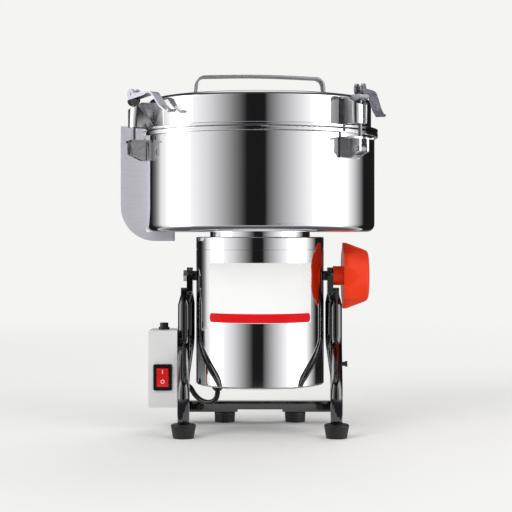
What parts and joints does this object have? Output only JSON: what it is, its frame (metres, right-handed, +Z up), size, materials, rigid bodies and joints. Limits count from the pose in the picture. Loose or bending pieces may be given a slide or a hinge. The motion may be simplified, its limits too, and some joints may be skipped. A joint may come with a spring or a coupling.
{
  "type": "spice grinder",
  "caption": "Electric spice grinder with a clamped steel bowl on a motor that tilts in a tube stand, with a lock knob and a rocker switch.",
  "frame": {"origin": "on the table, under the motor's axis", "axes": "+Z up along the motor's axis at rest, -Y to the front, +X to the right of someone facing the front"},
  "size_m": [0.316, 0.3007, 0.4244],
  "materials": {
    "black_enamel": "gloss",
    "foot_rubber": "matt",
    "zinc_screw": "plated",
    "bush_nylon": "matt",
    "grey_enamel": "satin",
    "switch_black": "gloss",
    "switch_red": "gloss",
    "gland_nylon": "matt",
    "polished_steel": "mirror polished",
    "satin_steel": "satin",
    "label_film": "satin",
    "knob_red": "satin",
    "gasket_silicone": "satin",
    "seal_rubber": "matt",
    "cast_aluminium": "cast",
    "core_steel": "laminated",
    "bright_steel": "ground",
    "copper": "wound",
    "motor_plastic": "moulded",
    "carbon": "matt",
    "cutter_steel": "ground",
    "lead_rubber": "gloss"
  },
  "bodies": {
    "stand": {"left_post": "black_enamel", "right_post": "black_enamel", "left_front_leg": "black_enamel", "right_front_leg": "black_enamel", "rear_bar": "black_enamel", "front_feet": "foot_rubber", "rear_feet": "foot_rubber", "foot_screws": "zinc_screw", "frame_screws": "zinc_screw", "pivot_bushes": "bush_nylon", "switch_box": "grey_enamel", "box_cover": "grey_enamel", "box_screws": "zinc_screw", "switch_housing": "switch_black", "mains_gland": "gland_nylon", "lead_grommet": "gland_nylon", "terminal_block": "gland_nylon", "motor_lead": "lead_rubber"},
    "rocker": {"switch_rocker": "switch_red"},
    "head": {"motor_casing": "polished_steel", "casing_collar": "polished_steel", "bottom_cover": "satin_steel", "head_screws": "zinc_screw", "casing_gland": "gland_nylon", "label_plate": "label_film", "pivot_bosses": "satin_steel", "left_pivot_bolt": "satin_steel", "right_pivot_stud": "satin_steel", "neck_flange": "satin_steel", "bowl": "polished_steel", "shaft_seal": "seal_rubber", "bowl_brackets": "satin_steel", "bracket_pins": "satin_steel", "tilt_grip": "satin_steel", "end_shields": "cast_aluminium", "motor_bearings": "bright_steel", "stator_core": "core_steel", "field_coils": "copper", "brush_holders": "motor_plastic", "carbon_brushes": "carbon"},
    "knob": {"lock_knob": "knob_red"},
    "lid": {"lid_shell": "polished_steel", "lid_gasket": "gasket_silicone", "lid_handle": "polished_steel", "lid_brackets": "satin_steel"},
    "rotor": {"motor_shaft": "bright_steel", "rotor_core": "core_steel", "commutator": "copper", "cooling_fan": "motor_plastic", "lower_cutter": "cutter_steel", "middle_cutter": "cutter_steel", "upper_cutter": "cutter_steel", "cutter_spacers": "cutter_steel", "cutter_nut": "cutter_steel"},
    "front_clamp": {"front_swing_bolt": "satin_steel"},
    "rear_clamp": {"rear_swing_bolt": "satin_steel"},
    "left_clamp": {"left_swing_bolt": "satin_steel"},
    "front_lever": {"front_cam_lever": "satin_steel"},
    "rear_lever": {"rear_cam_lever": "satin_steel"},
    "left_lever": {"left_cam_lever": "satin_steel"}
  },
  "joints": [
    {"name": "head_tilt", "type": "hinge", "parent": "stand", "child": "head", "pos_m": [0, 0, 0.1845], "axis": [1, 0, 0], "range_deg": [-90, 90], "deforming": ["motor_lead"]},
    {"name": "rocker_tip", "type": "hinge", "parent": "stand", "child": "rocker", "pos_m": [-0.115, -0.025, 0.065], "axis": [1, 0, 0], "range_deg": [-16, 0]},
    {"name": "knob_turn", "type": "hinge", "parent": "head", "child": "knob", "pos_m": [0.1, 0, 0.1845], "axis": [1, 0, 0], "range_deg": [0, 180]},
    {"name": "lid_lift", "type": "slide", "parent": "head", "child": "lid", "axis": [0, 0, 1], "range_m": [0, 0.08]},
    {"name": "front_clamp_swing", "type": "hinge", "parent": "head", "child": "front_clamp", "pos_m": [0.11263, -0.10503, 0.33], "axis": [0.682, 0.7314, 0], "range_deg": [0, 165.1]},
    {"name": "front_lever_lift", "type": "hinge", "parent": "front_clamp", "child": "front_lever", "pos_m": [0.11263, -0.10503, 0.39725], "axis": [0.9205, -0.3907, 0], "range_deg": [0, 100]},
    {"name": "rear_clamp_swing", "type": "hinge", "parent": "head", "child": "rear_clamp", "pos_m": [0.03464, 0.15005, 0.33], "axis": [-0.9744, 0.225, 0], "range_deg": [0, 165.1]},
    {"name": "rear_lever_lift", "type": "hinge", "parent": "rear_clamp", "child": "rear_lever", "pos_m": [0.03464, 0.15005, 0.39725], "axis": [-0.1219, 0.9925, 0], "range_deg": [0, 100]},
    {"name": "left_clamp_swing", "type": "hinge", "parent": "head", "child": "left_clamp", "pos_m": [-0.14727, -0.04503, 0.33], "axis": [0.2924, -0.9563, 0], "range_deg": [0, 165.1]},
    {"name": "left_lever_lift", "type": "hinge", "parent": "left_clamp", "child": "left_lever", "pos_m": [-0.14727, -0.04503, 0.39725], "axis": [-0.7771, -0.6293, 0], "range_deg": [0, 100]},
    {"name": "rotor_spin", "type": "hinge", "parent": "head", "child": "rotor", "pos_m": [0, 0, 0.15], "axis": [0, 0, 1], "continuous": true}
  ],
  "couplings": [
    {"joint": "front_clamp_swing", "follows": "lid_lift", "rad_per_m": 36},
    {"joint": "rear_clamp_swing", "follows": "lid_lift", "rad_per_m": 36},
    {"joint": "left_clamp_swing", "follows": "lid_lift", "rad_per_m": 36}
  ]
}
